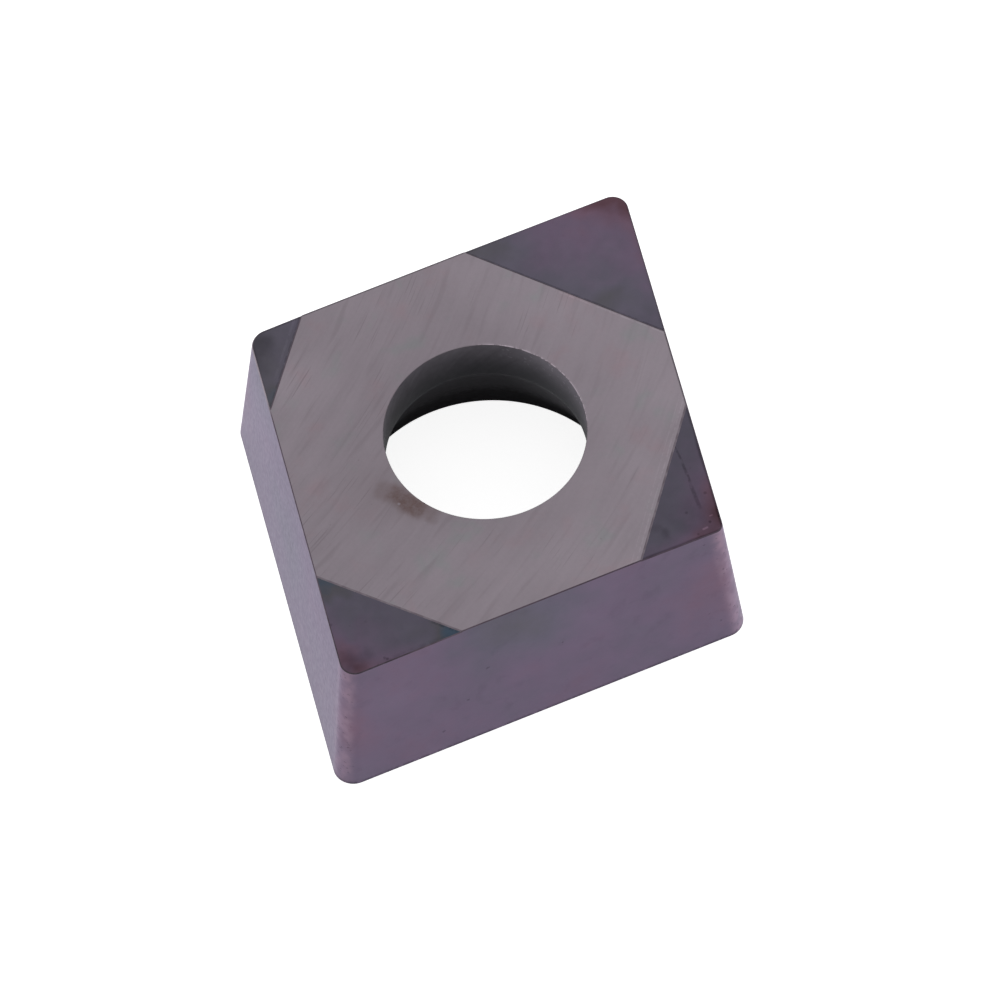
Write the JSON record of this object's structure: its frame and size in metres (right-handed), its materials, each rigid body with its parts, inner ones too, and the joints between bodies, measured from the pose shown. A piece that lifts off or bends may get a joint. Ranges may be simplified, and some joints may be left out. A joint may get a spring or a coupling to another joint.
{
  "type": "carbide turning insert",
  "caption": "Rhombic positive turning insert of coated sintered carbide, screw-clamped, with a ground seat and a chip groove.",
  "frame": {"origin": "centre of the base of the bounding box, on the plane of the rake face, on the axis of the screw hole", "axes": "+Z from the rake face up to the ground seating face, along the screw hole; +X along the long diagonal, towards one of the two acute corners; +Y towards one of the two obtuse corners"},
  "size_m": [0.0144, 0.0122, 0.004],
  "materials": {
    "coated_carbide": "dark violet grey coating on the flanks and the corner facets, bare grey carbide ground with fine scratches on the seat"
  },
  "bodies": {
    "root": {"insert": "coated_carbide"}
  },
  "joints": []
}
